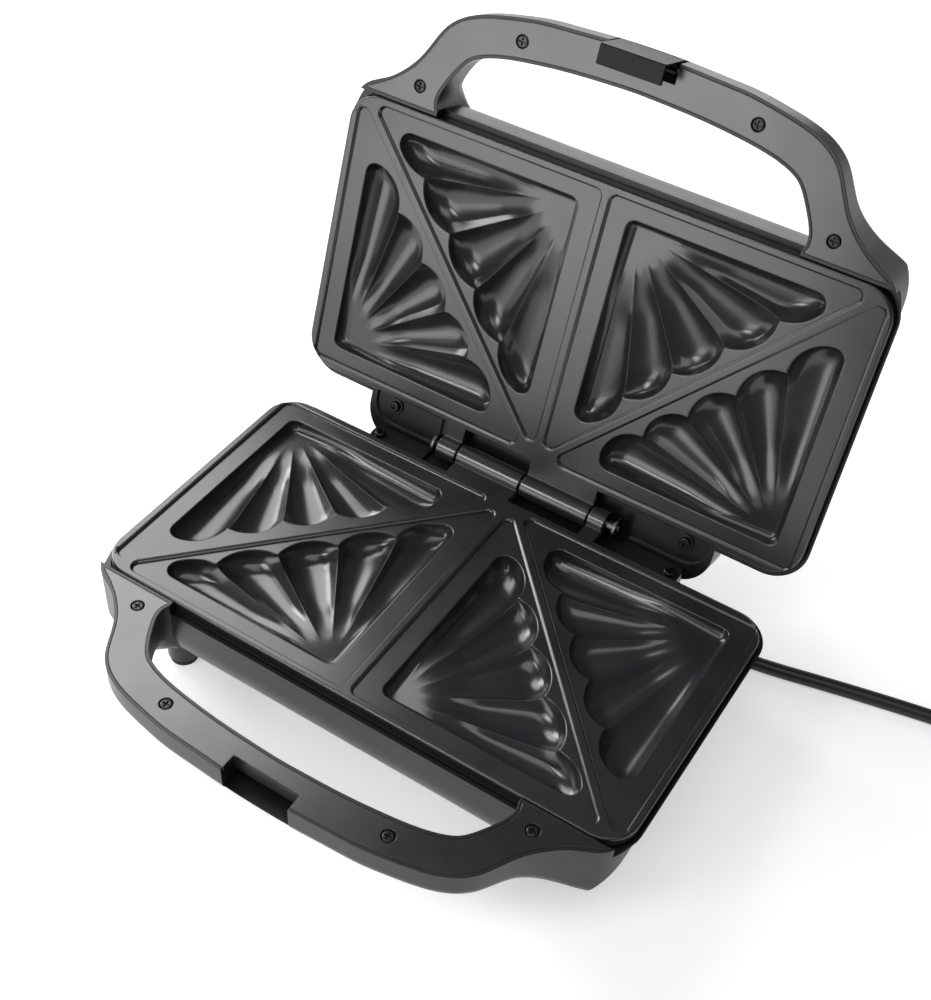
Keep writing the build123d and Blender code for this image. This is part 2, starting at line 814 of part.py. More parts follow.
def thermostat():
    """A round switch standing off the plate on a neck, with two contact tabs."""
    place = plate_rear + plate_depth / 2
    top = shelf + shelf_thickness
    body = rod(0, place, thermostat_neck_radius, top, top + thermostat_neck_height)
    low = top + thermostat_neck_height
    return body + rod(0, place, thermostat_radius, low, low + thermostat_height)


def thermal_fuse():
    """A thin sleeve lying against the underside of the plate."""
    place = plate_rear + plate_depth * fuse_place_share
    depth = shelf + shelf_thickness + fuse_radius
    return bar(place, depth, fuse_radius, -fuse_length / 2, fuse_length / 2)


def terminal_block():
    """The block on the base floor where the cord's wires are clamped."""
    bottom = housing_depth - housing_wall
    top = bottom - terminal_height
    left, right = terminal_x - terminal_length / 2, terminal_x + terminal_length / 2
    near, far = terminal_place - terminal_width / 2, terminal_place + terminal_width / 2
    body = block(left, right, near, far, top, bottom)
    step = terminal_length / terminal_ways
    for way in range(terminal_ways):
        x = left + step * (way + half_share)
        middle = at(x, terminal_place, (top + bottom) / 2)
        body -= Pos(middle) * Rot(90, 0, 0) * Cylinder(terminal_bore, terminal_width)
        body -= rod(x, terminal_place, terminal_bore, top, (top + bottom) / 2)
    return body


def hinge_pin():
    """The long pin with a washer pressed on near each end."""
    body = bar(0, 0, pin_radius, *pin_ends)
    for place in collar_places:
        body += bar(0, 0, collar_radius, place - collar_thickness / 2, place + collar_thickness / 2)
    return body


def latch():
    """The turning hook in the lid's handle, drawn as on a lower handle."""
    half = latch_half_width
    outer = front_reach + handle_border
    face = outer - latch_plate
    body = block(-half, half, face, outer, -latch_reach, latch_top)
    body += block(-half, half, notch_back + rest_gap, outer, -latch_reach, latch_plate - latch_reach)
    long_edges = body.edges().filter_by(Axis.X).sort_by(Axis.Y)[:2]
    body = fillet(long_edges, latch_rounding)
    web = latch_web / 2
    body += bar(latch_pivot_y, latch_pivot_z, latch_barrel, -half, half)
    body += block(-half, half, latch_pivot_y, face + latch_plate / 2, latch_pivot_z - web, latch_pivot_z + web)
    return body - bar(latch_pivot_y, latch_pivot_z, latch_pin_radius + pin_clearance, -half, half)


def latch_pin():
    grip = latch_half_width + latch_side_gap + latch_pin_grip
    return bar(latch_pivot_y, latch_pivot_z, latch_pin_radius, -grip, grip)


def feet():
    """Four rubber pads, each with a stem pushed into its post."""
    group = []
    post_bottom = floor_level - foot_pad_height
    for place in foot_places:
        for x in (-foot_x, foot_x):
            pad = rod(x, place, foot_pad_radius, post_bottom, floor_level)
            pad = fillet(pad.edges().group_by(Axis.Z)[0], foot_edge)
            group.append(pad + rod(x, place, foot_stem_radius, post_bottom - foot_stem_length, post_bottom))
    return group


def lens(x):
    """An indicator window with a flange inside the lid and a domed face outside."""
    inner = housing_depth - housing_wall
    body = rod(x, lens_place, lens_flange_radius, inner - lens_flange_height, inner)
    body += rod(x, lens_place, lens_radius, inner, housing_depth + lens_dome)
    return fillet(body.edges().group_by(Axis.Z)[0], lens_dome * dome_share)


def strain_relief():
    """The ribbed sleeve that holds the cord in the rear wall of the base."""
    profile = [(0, gland_inner), (gland_radius, gland_inner), (gland_radius, gland_seat)]
    flange_end = gland_seat - gland_flange
    profile += [(gland_flange_radius, gland_seat), (gland_flange_radius, flange_end)]
    profile.append((gland_radius, flange_end))
    ring = (flange_end - gland_tip) / (2 * gland_rings)
    narrowing = (gland_radius - gland_tip_radius) / gland_rings
    for index in range(gland_rings):
        radius = gland_radius - narrowing * (index + 1)
        start = flange_end - ring * (2 * index + 1)
        profile += [(radius + narrowing, start), (radius - gland_groove + narrowing, start)]
        profile += [(radius - gland_groove + narrowing, start - ring), (radius, start - ring)]
    profile = profile[:-2] + [(gland_tip_radius, gland_tip), (0, gland_tip)]
    face = make_face(Polyline(*[(radius, -place) for radius, place in profile], close=True))
    return Pos(gland_x, 0, -gland_drop) * revolve(face, axis=Axis.Y)


def tube(path, radius):
    """A round rod along a path."""
    section = Plane(origin=path @ 0, z_dir=path % 0) * Circle(radius)
    return sweep(section, path=path)


def bend_radii(points):
    """The radius of each bend, from the shorter run beside it and the turn."""
    radii = []
    for before, here, after in zip(points, points[1:], points[2:]):
        arriving, leaving = here - before, after - here
        turn = radians(arriving.get_angle(leaving))
        radii.append(bend_share * min(arriving.length, leaving.length) / tan(turn / 2))
    return radii


def cord_path():
    start = at(gland_x, gland_tip, gland_drop)
    points = [start] + [Vector(*point) for point in cord_route] + [Vector(*cord_end)]
    radii = bend_radii(points)
    print("cord bend radii:", [round(radius) for radius in radii])
    return FilletPolyline(*points, radius=radii)


def coil_path():
    """Half turns that spiral in on the ground, climb, and spiral out on top."""
    straight = 2 * cord_radius
    here = Vector(straight, 0, 0)
    edges = [Line((0, 0, 0), here)]
    radius = coil_radius
    side = 1
    for turn in range(coil_inward_turns):
        end = here + Vector(0, 2 * radius * side, 0)
        edges.append(ThreePointArc(here, here + Vector(radius, radius, 0) * side, end))
        here, side, radius = end, -side, radius - coil_pitch / 2
    top = Vector(0, 0, coil_rise)
    bulge = sqrt(radius ** 2 + coil_rise ** 2 / 4)
    middle = here + Vector(bulge, radius, 0) * side + top / 2
    end = here + Vector(0, 2 * radius * side, 0) + top
    first = TangentArc(here, middle, tangent=(side, 0, 0))
    edges += [first, TangentArc(middle, end, tangent=first % 1)]
    here, side, radius = end, -side, radius + coil_pitch / 2
    for turn in range(coil_outward_turns):
        end = here + Vector(0, 2 * radius * side, 0)
        edges.append(ThreePointArc(here, here + Vector(radius, radius, 0) * side, end))
        here, side, radius = end, -side, radius + coil_pitch / 2
    edges.append(Line(here, here + Vector(straight, 0, 0)))
    return Wire(edges), here + Vector(straight, 0, 0)


def least_gap(path):
    """The least clear distance of the tube to its own loops, from points on it."""
    count = round(path.length / cord_radius)
    points = [path @ (index / count) for index in range(count + 1)]
    apart = round(pi * 2)
    gaps = [
        (points[low] - points[high]).length
        for low in range(count + 1) for high in range(low + apart, count + 1)
    ]
    return min(gaps) - 2 * cord_radius


def plug():
    """A moulded plug and its three flat pins, with the cord entering along +X."""
    near = plug_neck_length
    outline = Pos(near + plug_length / 2, 0, 0) * RectangleRounded(plug_length, plug_width, plug_corner)
    body = extrude(outline, amount=plug_thickness / 2, both=True)
    body = fillet(body.edges().filter_by(GeomType.LINE, reverse=True) + body.edges().filter_by(
        lambda edge: abs(edge.center().Z) > plug_thickness / 4), plug_rounding)
    neck = Cone(cord_radius + plug_neck_step, plug_neck_radius, near + plug_neck_radius)
    body += Pos((near + plug_neck_radius) / 2, 0, 0) * Rot(0, 90, 0) * neck
    root = plug_thickness / 2 - plug_pin_root
    first = near + plug_pin_place
    pins = []
    for side in (-1, 1):
        y = side * plug_pin_spacing / 2
        length = plug_pin_length + plug_pin_root
        pin = Box(plug_pin_thickness, plug_pin_width, length)
        pins.append(Pos(first, y, root + length / 2) * pin)
    length = plug_earth_length + plug_pin_root
    pin = Box(plug_earth_width, plug_pin_thickness, length)
    pins.append(Pos(first + plug_earth_offset, 0, root + length / 2) * pin)
    pins = [chamfer(pin.edges().group_by(Axis.Z)[-1], plug_pin_chamfer) for pin in pins]
    for pin in pins:
        body -= pin
    return body, pins


def opened(shape):
    """A piece drawn as a lower one, turned over and swung open about the hinge."""
    turned = [Rot(-open_angle, 0, 0) * mirror(solid, about=Plane.XY) for solid in shape.solids()]
    return turned[0] if len(turned) == 1 else Compound(turned)


def pieces():
    """All pieces of the base and the opened lid, by name."""
    common = housing()
    common_plate = plate()
    covered = handle_cover(notch_back)
    screws = cover_screws()
    driven = plate_screws()
    element = heating_element()
    shield = heat_shield()
    tongue_boss = tongue_face + tongue_pocket_depth - rear_boss_height
    base = {
        "base_housing": base_housing(common),
        "base_plate": finished_plate(common_plate, base_knuckles),
        "base_handle_cover": covered,
        "base_cover_screws": Compound(screws),
        "base_rear_screws": Compound(rear_screws(rim_drop)),
        "base_plate_screws": Compound(driven),
        "base_heating_element": element,
        "base_heat_shield": shield,
        "thermal_fuse": thermal_fuse(),
        "terminal_block": terminal_block(),
        "hinge_pin": hinge_pin(),
        "base_feet": Compound(feet()),
        "strain_relief": strain_relief(),
    }
    lid = {
        "lid_housing": lid_housing(common),
        "lid_plate": finished_plate(common_plate, lid_knuckles),
        "lid_handle_cover": covered,
        "lid_cover_screws": Compound(screws),
        "lid_rear_screws": Compound(rear_screws(tongue_boss)),
        "lid_plate_screws": Compound(driven),
        "lid_heating_element": element,
        "lid_heat_shield": shield,
        "thermostat": thermostat(),
        "power_lens": lens(-lens_spacing / 2),
        "ready_lens": lens(lens_spacing / 2),
        "latch": latch(),
        "latch_pin": latch_pin(),
    }
    return base | {name: opened(shape) for name, shape in lid.items()}


def cord_pieces():
    """The free stretch of cord, its put-away coil, the last stretch and the plug."""
    path = cord_path()
    coil_plane = Plane(origin=Vector(*cord_end), x_dir=path % 1, z_dir=(0, 0, 1))
    local_coil, local_end = coil_path()
    coil = coil_plane * local_coil
    tail_start = coil_plane.from_local_coords(local_end)
    tail_end = coil_plane.from_local_coords(local_end + Vector(tail_length, 0, 0))
    tail = Line(tail_start, tail_end)
    plug_plane = Plane(origin=tail_end, x_dir=path % 1, z_dir=(0, 0, 1))
    body, pins = plug()
    length = path.length + coil.length + tail.length
    print("cord length:", round(length), "least gap in the coil:", round(least_gap(coil), 2))
    return {
        "cord": tube(path, cord_radius),
        "cord_coil": tube(coil, cord_radius),
        "cord_tail": tube(tail, cord_radius),
        "plug_body": plug_plane * body,
        "plug_pins": Compound([plug_plane * pin for pin in pins]),
    }


appliance = pieces()
box = Compound(list(appliance.values())).bounding_box()
to_frame = Pos(-box.center().X, -box.center().Y, floor_level)
for name, shape in (appliance | cord_pieces()).items():
    placed = to_frame * shape
    export_step(placed, "parts/" + name + ".step")
    print(name, round(placed.volume), len(placed.solids()), placed.is_valid)
print("moved by", tuple(to_frame.position))
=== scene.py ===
import bpy
import json
import math
import bmesh
from mathutils import Matrix, Vector
from mathutils.geometry import tessellate_polygon


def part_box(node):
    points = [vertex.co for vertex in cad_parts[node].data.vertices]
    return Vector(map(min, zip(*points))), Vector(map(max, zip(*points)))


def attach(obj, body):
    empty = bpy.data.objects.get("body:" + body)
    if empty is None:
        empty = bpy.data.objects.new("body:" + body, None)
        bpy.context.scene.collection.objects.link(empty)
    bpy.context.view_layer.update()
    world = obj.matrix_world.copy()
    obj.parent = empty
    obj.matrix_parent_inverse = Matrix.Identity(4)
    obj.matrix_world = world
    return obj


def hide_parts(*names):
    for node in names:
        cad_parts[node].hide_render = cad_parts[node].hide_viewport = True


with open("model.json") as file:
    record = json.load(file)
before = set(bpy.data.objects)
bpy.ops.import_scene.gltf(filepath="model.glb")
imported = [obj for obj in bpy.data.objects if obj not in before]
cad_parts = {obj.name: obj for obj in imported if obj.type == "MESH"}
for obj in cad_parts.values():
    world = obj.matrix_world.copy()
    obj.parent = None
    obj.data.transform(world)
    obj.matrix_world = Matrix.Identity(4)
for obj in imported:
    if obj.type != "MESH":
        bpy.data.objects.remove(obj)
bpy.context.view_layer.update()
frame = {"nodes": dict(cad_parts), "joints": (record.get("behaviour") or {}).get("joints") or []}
scene = bpy.context.scene
scene.view_settings.view_transform = "Standard"

# The hinge's axis is the pin's, rounded because a mesh is kept in single precision. The view's
# target, the places on the plates and the cord's route are counted from this axis. The frame is
# drawn with the lid as far open as its joint goes.
pin_low, pin_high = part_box("hinge_pin")
pin_middle = (pin_low + pin_high) / 2
hinge_y, hinge_z = round(pin_middle.y, 8), round(pin_middle.z, 8)
lid_hinge = next(joint for joint in frame["joints"] if joint["name"] == "lid_hinge")
open_angle = math.radians(lid_hinge["range_deg"][1])


def from_hinge(x, y, z):
    """A point given in millimetres from the middle of the hinge's axis."""
    return Vector((x / 1000, y / 1000 + hinge_y, z / 1000 + hinge_z))


def direction(azimuth, elevation):
    """The direction of a camera or lamp, as seen from the object: azimuth 0 is the front."""
    level = math.cos(elevation)
    return Vector((math.sin(azimuth) * level, -math.cos(azimuth) * level, math.sin(elevation)))


# Camera: the photograph's viewing angle, distance and lens. The focal length is counted in the
# photograph's pixels.

roll = math.radians(4.06)
view_distance = 0.59025
focal_pixels = 1481.93
picture_width = 931
sensor_width = 36
target = from_hinge(5.17, -62.95, 45.34)
toward = direction(math.radians(29.71), math.radians(44.86))
flat_right = (-toward).cross(Vector((0, 0, 1))).normalized()
flat_up = flat_right.cross(-toward)
right = flat_right * math.cos(roll) + flat_up * math.sin(roll)
up = -flat_right * math.sin(roll) + flat_up * math.cos(roll)
lens = bpy.data.cameras.new("camera")
lens.sensor_fit = "HORIZONTAL"
lens.sensor_width = sensor_width
lens.lens = sensor_width * focal_pixels / picture_width
lens.clip_start = 0.01
camera = bpy.data.objects.new("camera", lens)
axes = Matrix((right, up, toward)).transposed().to_4x4()
camera.matrix_world = Matrix.Translation(target + toward * view_distance) @ axes
scene.collection.objects.link(camera)
scene.camera = camera


# Materials. Noise scales are counted per metre, and relief depths and edges in metres. Most of
# a noise pattern's values lie in noise_band; cloud_band is narrower, so its clouds are clearer.

noise_band = (0.3, 0.7)
cloud_band = (0.35, 0.65)


def new_material(name):
    """A material with an empty tree, its shader and the piece's own coordinates."""
    material = bpy.data.materials.new(name)
    material.use_nodes = True
    nodes = material.node_tree.nodes
    nodes.clear()
    output = nodes.new("ShaderNodeOutputMaterial")
    shader = nodes.new("ShaderNodeBsdfPrincipled")
    place = nodes.new("ShaderNodeTexCoord")
    material.node_tree.links.new(shader.outputs["BSDF"], output.inputs["Surface"])
    return material, shader, place


def noise(material, place, scale, detail=3, roughness=0.5):
    """A noise pattern whose grain has a real size: scale is counted per metre."""
    texture = material.node_tree.nodes.new("ShaderNodeTexNoise")
    texture.inputs["Scale"].default_value = scale
    texture.inputs["Detail"].default_value = detail
    texture.inputs["Roughness"].default_value = roughness
    material.node_tree.links.new(place.outputs["Object"], texture.inputs["Vector"])
    return texture


def ramp(material, source, band, start, end):
    """A grey or colour ramp over a band of a source value."""
    node = material.node_tree.nodes.new("ShaderNodeValToRGB")
    for element, position, colour in zip(node.color_ramp.elements, band, (start, end)):
        element.position = position
        element.color = colour
    material.node_tree.links.new(source, node.inputs["Fac"])
    return node.outputs["Color"]


def spread(material, source, limits):
    """A noise value spread between a low and a high number."""
    node = material.node_tree.nodes.new("ShaderNodeMapRange")
    node.inputs["From Min"].default_value, node.inputs["From Max"].default_value = noise_band
    node.inputs["To Min"].default_value, node.inputs["To Max"].default_value = limits
    material.node_tree.links.new(source, node.inputs["Value"])
    return node.outputs["Result"]


def relief(material, shader, source, strength, depth, edge):
    """A fine bump of a real depth, over softly worn edges if edge isn't zero."""
    links = material.node_tree.links
    bump = material.node_tree.nodes.new("ShaderNodeBump")
    bump.inputs["Strength"].default_value = strength
    bump.inputs["Distance"].default_value = depth
    links.new(source, bump.inputs["Height"])
    if edge:
        rounding = material.node_tree.nodes.new("ShaderNodeBevel")
        rounding.samples = 4
        rounding.inputs["Radius"].default_value = edge
        links.new(rounding.outputs["Normal"], bump.inputs["Normal"])
    links.new(bump.outputs["Normal"], shader.inputs["Normal"])


def grey(level):
    """An opaque grey."""
    return (level, level, level, 1)


def plastic(name, dark, light, roughness, grain, grain_depth, edge, specular=0.5):
    """Moulded plastic with a fine grain, a cloudy sheen and rounded edges."""
    material, shader, place = new_material(name)
    links = material.node_tree.links
    cloud = noise(material, place, scale=35)
    fine = noise(material, place, scale=grain, detail=2)
    links.new(ramp(material, cloud.outputs["Fac"], cloud_band, dark, light), shader.inputs["Base Color"])
    links.new(spread(material, cloud.outputs["Fac"], roughness), shader.inputs["Roughness"])
    shader.inputs["Specular IOR Level"].default_value = specular
    relief(material, shader, fine.outputs["Fac"], strength=0.35, depth=grain_depth, edge=edge)
    return material


def metal(name, dark, light, roughness, scratch, edge):
    """Bare or plated metal with faint scratches."""
    material, shader, place = new_material(name)
    links = material.node_tree.links
    cloud = noise(material, place, scale=60)
    fine = noise(material, place, scale=scratch, detail=4, roughness=0.6)
    links.new(ramp(material, cloud.outputs["Fac"], cloud_band, dark, light), shader.inputs["Base Color"])
    links.new(spread(material, fine.outputs["Fac"], roughness), shader.inputs["Roughness"])
    shader.inputs["Metallic"].default_value = 1
    relief(material, shader, fine.outputs["Fac"], strength=0.15, depth=0.00003, edge=edge)
    return material


housing_plastic = plastic(
    "satin_black_plastic", grey(0.008), grey(0.011), roughness=(0.3, 0.37),
    grain=3500, grain_depth=0.00003, edge=0.0006)
cover_plastic = plastic(
    "dark_cover_plastic", grey(0.007), grey(0.01), roughness=(0.2, 0.26),
    grain=5000, grain_depth=0.00001, edge=0.0005, specular=1.0)
latch_plastic = plastic(
    "latch_plastic", grey(0.004), grey(0.006), roughness=(0.1, 0.14),
    grain=4000, grain_depth=0.00001, edge=0.0006, specular=0.12)
cord_sheath = plastic(
    "cord_sheath", grey(0.006), grey(0.009), roughness=(0.38, 0.46),
    grain=2500, grain_depth=0.00004, edge=0.0)
foot_rubber = plastic(
    "foot_rubber", grey(0.01), grey(0.018), roughness=(0.7, 0.8),
    grain=1800, grain_depth=0.0001, edge=0.0003)
lamp_red = plastic(
    "red_window", (0.5, 0.01, 0.008, 1), (0.6, 0.02, 0.01, 1), roughness=(0.1, 0.16),
    grain=1500, grain_depth=0.00001, edge=0.0002)
lamp_green = plastic(
    "green_window", (0.02, 0.3, 0.04, 1), (0.03, 0.4, 0.06, 1), roughness=(0.1, 0.16),
    grain=1500, grain_depth=0.00001, edge=0.0002)
pale_plastic = plastic(
    "terminal_plastic", (0.62, 0.6, 0.52, 1), (0.72, 0.7, 0.62, 1), roughness=(0.5, 0.6),
    grain=1500, grain_depth=0.00004, edge=0.0003)
screw_steel = metal(
    "blackened_steel", grey(0.03), grey(0.06), roughness=(0.25, 0.4), scratch=900, edge=0.0002)
dark_steel = metal(
    "hinge_steel", grey(0.1), grey(0.16), roughness=(0.28, 0.4), scratch=900, edge=0.0003)
washer_steel = metal(
    "pin_steel", grey(0.42), grey(0.6), roughness=(0.18, 0.32), scratch=700, edge=0.0003)
element_steel = metal(
    "element_steel", (0.26, 0.22, 0.19, 1), (0.4, 0.36, 0.33, 1), roughness=(0.35, 0.5),
    scratch=500, edge=0.0)
shield_metal = metal(
    "shield_aluminium", grey(0.55), grey(0.7), roughness=(0.3, 0.42), scratch=400, edge=0.0002)
plug_brass = metal(
    "plug_brass", (0.62, 0.45, 0.2, 1), (0.76, 0.58, 0.3, 1), roughness=(0.2, 0.32),
    scratch=600, edge=0.0003)


def coating(name):
    """The dark baked coating of the plates: satin, slightly mottled, faintly cool."""
    material, shader, place = new_material(name)
    links = material.node_tree.links
    cloud = noise(material, place, scale=45)
    fine = noise(material, place, scale=2600)
    dark, light = (0.013, 0.0142, 0.016, 1), (0.018, 0.0195, 0.022, 1)
    links.new(ramp(material, cloud.outputs["Fac"], noise_band, dark, light), shader.inputs["Base Color"])
    links.new(spread(material, cloud.outputs["Fac"], (0.2, 0.25)), shader.inputs["Roughness"])
    shader.inputs["IOR"].default_value = 1.66
    relief(material, shader, fine.outputs["Fac"], strength=0.3, depth=0.00002, edge=0.0005)
    return material


plate_coating = coating("baked_plate_coating")

finishes = {
    "base_housing": housing_plastic, "lid_housing": housing_plastic,
    "base_plate": plate_coating, "lid_plate": plate_coating,
    "base_handle_cover": cover_plastic, "lid_handle_cover": cover_plastic,
    "base_cover_screws": screw_steel, "lid_cover_screws": screw_steel,
    "base_rear_screws": screw_steel, "lid_rear_screws": screw_steel,
    "base_plate_screws": screw_steel, "lid_plate_screws": screw_steel,
    "base_heating_element": element_steel, "lid_heating_element": element_steel,
    "base_heat_shield": shield_metal, "lid_heat_shield": shield_metal,
    "thermal_fuse": pale_plastic, "terminal_block": pale_plastic,
    "hinge_pin": dark_steel, "latch_pin": washer_steel, "thermostat": element_steel,
    "base_feet": foot_rubber, "strain_relief": cord_sheath, "plug_body": cord_sheath,
    "plug_pins": plug_brass, "power_lens": lamp_red, "ready_lens": lamp_green,
    "latch": latch_plastic,
}
for name, finish in finishes.items():
    piece = frame["nodes"][name]
    piece.data.materials.clear()
    piece.data.materials.append(finish)

# Cooking plates: the solid plates' rims, ridges and knuckles, with finely moulded wells.
# Sizes are in millimetres. A place on a plate is counted forward from the hinge, and a depth
# from the plane through the hinge in which the two rims meet.

plate_side = 122.4
plate_rear = 14.8
plate_front = 139.0
shelf = 2.0

# The fields beside the diagonal ridge, and the limits by which their old faces are found.
field_inset = 0.95
field_rounding = 2.8
field_tolerance = 0.02
square_millimetres = 1000 ** 2
ridge_half_width = 1.15
ridge_foot = Vector((4.9, 16.7))
ridge_head = Vector((118.2, 138.8))
ridge_line = (ridge_head - ridge_foot).normalized()
ridge_side = Vector((ridge_line.y, -ridge_line.x))

# A well: its depths below the shelf, its walls and roundings, and where its flutes begin.
well_depth = 8.2
corner_depth = 4.8
least_wall_depth = 0.4
apex_inset = 4.4
flute_starts = (0.18, 0.6)
corner_wall = 3.6
end_wall = 8.0
wall_curve = 2.3
end_leg_gap = 7.6
end_rise_share = 0.6
end_offset_limit = 7.0
lobe_bulge = 5.2
corner_rounding = 4.0
acute_rounding = 5.0
ridge_fullness = 0.93
past_ridge = 1.07

# The mesh of a well: steps along its outline, and rows from the rim to the corner. A rim row
# has its gap in from the outline and its depth below the shelf, and a wall row has its gap.
corner_steps = 6
leg_steps = 18
acute_steps = 8
lobe_steps = 16
rim_rows = ((-0.55, 0.0), (-0.3, 0.03), (-0.1, 0.12), (0.06, 0.32))
wall_rows = (0.2, 0.4, 0.7, 1.1, 1.6, 2.2, 2.8)
fan_rows = 24

# The solid's vertices are merged when closer than merge_distance, in metres. Faces that meet at
# more than sharp_angle keep a hard edge. A face is flat when its normal, along the plate's own,
# is longer than flat_slant.
merge_distance = 0.000002
sharp_angle = math.radians(35)
flat_slant = 0.9998


def beside_ridge(offset, x=None, y=None):
    """A point of the line beside the diagonal ridge, at the given x or y."""
    start = ridge_foot + ridge_side * offset
    run = (x - start.x) / ridge_line.x if y is None else (y - start.y) / ridge_line.y
    return start + ridge_line * run


def arc_points(centre, radius, start, end, steps):
    """Points of the short arc from one direction to another, each with its normal."""
    first = math.atan2(start.y, start.x)
    sweep = (math.atan2(end.y, end.x) - first + math.pi) % (2 * math.pi) - math.pi
    turns = [first + sweep * step / steps for step in range(steps + 1)]
    normals = [Vector((math.cos(turn), math.sin(turn))) for turn in turns]
    return [(centre + normal * radius, normal) for normal in normals]


class Well:
    """One fluted well of the right half, between a leg at its side, a leg at its end and five lobes.

    The lobes meet in cusps. These lie on a line beside the diagonal ridge, at the given shares of
    it, and the offsets say how far its two ends are from the ridge.
    """

    def __init__(self, side, end, offsets, shares):
        self.side, self.end = side, end
        first = beside_ridge(offsets[0], x=side)
        last = beside_ridge(offsets[1], y=end)
        run = last - first
        self.corner = Vector((side, end))
        self.inward_x = 1 if last.x > side else -1
        self.inward_y = 1 if first.y > end else -1
        self.apex = self.corner + Vector((self.inward_x, self.inward_y)) * apex_inset
        cusps = [first + run * share for share in shares]
        half = (cusps[-1] - cusps[0]).length / (len(cusps) - 1) / 2
        self.radius = (half ** 2 + lobe_bulge ** 2) / (2 * lobe_bulge)
        step = run.normalized()
        inward = Vector((-step.y, step.x))
        inward *= 1 if inward.dot(self.corner - first) > 0 else -1
        middles = [cusps[0] - step * half]
        middles += [(low + high) / 2 for low, high in zip(cusps, cusps[1:])]
        middles.append(cusps[-1] + step * half)
        self.centres = [middle + inward * (self.radius - lobe_bulge) for middle in middles]
        self.cusps = cusps
        self.outline = self.trace()
        self.ends = self.find_ends()

    def acute(self, centre, on_side):
        """The rounding between the last lobe and its leg: centre, leg point and lobe point."""
        reach = self.radius - acute_rounding
        if on_side:
            x = self.side + self.inward_x * acute_rounding
            middle = Vector((x, centre.y + self.inward_y * math.sqrt(reach ** 2 - (x - centre.x) ** 2)))
            leg = Vector((self.side, middle.y))
        else:
            y = self.end + self.inward_y * acute_rounding
            middle = Vector((centre.x + self.inward_x * math.sqrt(reach ** 2 - (y - centre.y) ** 2), y))
            leg = Vector((middle.x, self.end))
        return middle, leg, centre + (middle - centre) * self.radius / reach

    def trace(self):
        """The outline from the corner round the side leg, the lobes and the end leg."""
        x_out, y_out = Vector((-self.inward_x, 0)), Vector((0, -self.inward_y))
        middle = self.corner + Vector((self.inward_x, self.inward_y)) * corner_rounding
        points = arc_points(middle, corner_rounding, y_out, x_out, corner_steps)
        centre_a, leg_a, lobe_a = self.acute(self.centres[0], True)
        centre_b, leg_b, lobe_b = self.acute(self.centres[-1], False)
        start = points[-1][0]
        points += [(start.lerp(leg_a, step / leg_steps), x_out) for step in range(1, leg_steps)]
        points += arc_points(centre_a, acute_rounding, leg_a - centre_a, lobe_a - centre_a, acute_steps)
        stops = [lobe_a] + self.cusps + [lobe_b]
        self.ridge_columns = []
        for index, centre in enumerate(self.centres):
            low, high = stops[index], stops[index + 1]
            lobe = arc_points(centre, self.radius, low - centre, high - centre, lobe_steps)
            points += lobe[1:-1]
            if index < len(self.cusps):
                cusp = self.cusps[index]
                self.ridge_columns.append(len(points))
                points.append((cusp, (cusp - self.apex).normalized()))
        points += arc_points(centre_b, acute_rounding, lobe_b - centre_b, leg_b - centre_b, acute_steps)
        first = points[0][0]
        points += [(leg_b.lerp(first, step / leg_steps), y_out) for step in range(1, leg_steps)]
        return points

    def find_ends(self):
        """Where each flute reaches its full depth, in front of its lobe."""
        ends = []
        reach = self.radius - end_wall
        bounds = [None] + [(cusp - self.apex).normalized() for cusp in self.cusps] + [None]
        for index, centre in enumerate(self.centres):
            if index == 0:
                x = self.side + self.inward_x * end_leg_gap
                rise = math.sqrt(reach ** 2 - min(abs(x - centre.x), end_offset_limit) ** 2)
                ends.append(Vector((x, centre.y + self.inward_y * rise * end_rise_share)))
            elif index == len(self.centres) - 1:
                y = self.end + self.inward_y * end_leg_gap
                rise = math.sqrt(reach ** 2 - min(abs(y - centre.y), end_offset_limit) ** 2)
                ends.append(Vector((centre.x + self.inward_x * rise * end_rise_share, y)))
            else:
                heading = (bounds[index] + bounds[index + 1]).normalized()
                offset = centre - self.apex
                along = offset.dot(heading)
                miss = (offset - heading * along).length
                run = along + math.sqrt(max(reach ** 2 - miss ** 2, 0))
                ends.append(self.apex + heading * run)
        return ends

    def depth(self, point, gap):
        """How deep the well is below the shelf at a point, which is gap away from the outline."""
        leg_gaps = [abs(point.x - self.side), abs(point.y - self.end)]
        reach = (self.cusps[1] + self.cusps[2]) / 2 - self.apex
        along_floor = max((point - self.apex).dot(reach) / reach.length_squared, 0)
        floor = corner_depth * max(1 - along_floor, 0)
        flutes = [self.flute(index, point, gap, floor, leg_gaps) for index in range(len(self.ends))]
        return max([floor * wall_share(min(gap, *leg_gaps), corner_wall)] + flutes)

